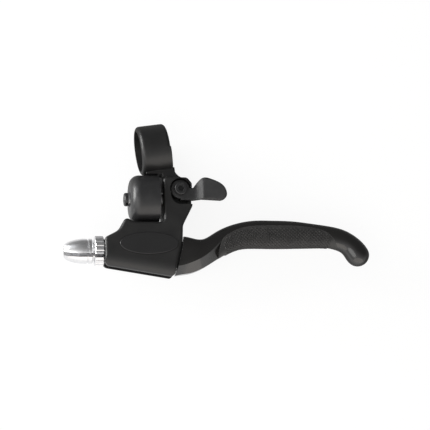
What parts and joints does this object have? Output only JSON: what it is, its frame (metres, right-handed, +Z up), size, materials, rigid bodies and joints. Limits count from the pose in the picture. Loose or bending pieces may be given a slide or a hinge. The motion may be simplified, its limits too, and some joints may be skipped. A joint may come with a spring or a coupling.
{
  "type": "bicycle brake lever",
  "caption": "Brake lever for a flat handlebar with a split clamp, a curved padded blade, a slotted cable adjuster and a bell worked by a thumb lever.",
  "frame": {"origin": "centre of the handlebar clamp's bore", "axes": "+X along the handlebar towards the blade's tip, +Y across it towards the rider, +Z up out of the face that carries the badge"},
  "size_m": [0.1678, 0.0945, 0.0286],
  "materials": {
    "bracket_black": "satin black paint",
    "blade_black": "gloss black paint",
    "badge_black": "satin",
    "bell_black": "satin black paint",
    "pad_rubber": "matte, fine texture",
    "thumb_plastic": "matte",
    "bush_plastic": "plain",
    "bare_aluminium": "bright turned",
    "plain_steel": "zinc plated",
    "dark_steel": "black oxide"
  },
  "bodies": {
    "bracket_body": {"bracket": "bracket_black", "clamp_bolt": "dark_steel", "clamp_washer": "plain_steel", "badge_plate": "badge_black", "pivot_bolt": "dark_steel", "pivot_washer_upper": "bush_plastic", "pivot_washer_lower": "bush_plastic", "reach_screw": "dark_steel", "bell_dome": "bell_black", "bell_post": "plain_steel", "bell_washer": "plain_steel", "bell_screw": "dark_steel", "thumb_bush": "plain_steel", "thumb_screw": "dark_steel", "thumb_spring": "plain_steel"},
    "blade_body": {"lever_blade": "blade_black", "grip_pad": "pad_rubber", "pivot_bush": "bush_plastic"},
    "thumb_body": {"thumb_lever": "thumb_plastic", "striker_strip": "plain_steel", "striker": "plain_steel"},
    "adjuster_body": {"barrel_adjuster": "bare_aluminium"},
    "lock_ring_body": {"lock_ring": "bare_aluminium"}
  },
  "joints": [
    {"name": "blade_pivot", "type": "hinge", "parent": "bracket_body", "child": "blade_body", "pos_m": [0.00454, -0.04025, 0], "axis": [0, 0, 1], "range_deg": [0, 24]},
    {"name": "thumb_pivot", "type": "hinge", "parent": "bracket_body", "child": "thumb_body", "pos_m": [0.01041, -0.02509, 0.0052], "axis": [0, 0, -1], "range_deg": [0, 14], "stiffness_Nm_per_rad": 0.03, "springref_deg": -20.05, "deforming": ["thumb_spring"]},
    {"name": "adjuster_turn", "type": "hinge", "parent": "bracket_body", "child": "adjuster_body", "pos_m": [-0.0564, -0.04885, 0], "axis": [0.9903, -0.1392, 0], "continuous": true},
    {"name": "lock_ring_turn", "type": "hinge", "parent": "bracket_body", "child": "lock_ring_body", "pos_m": [-0.03545, -0.05179, 0], "axis": [0.9903, -0.1392, 0], "continuous": true}
  ]
}
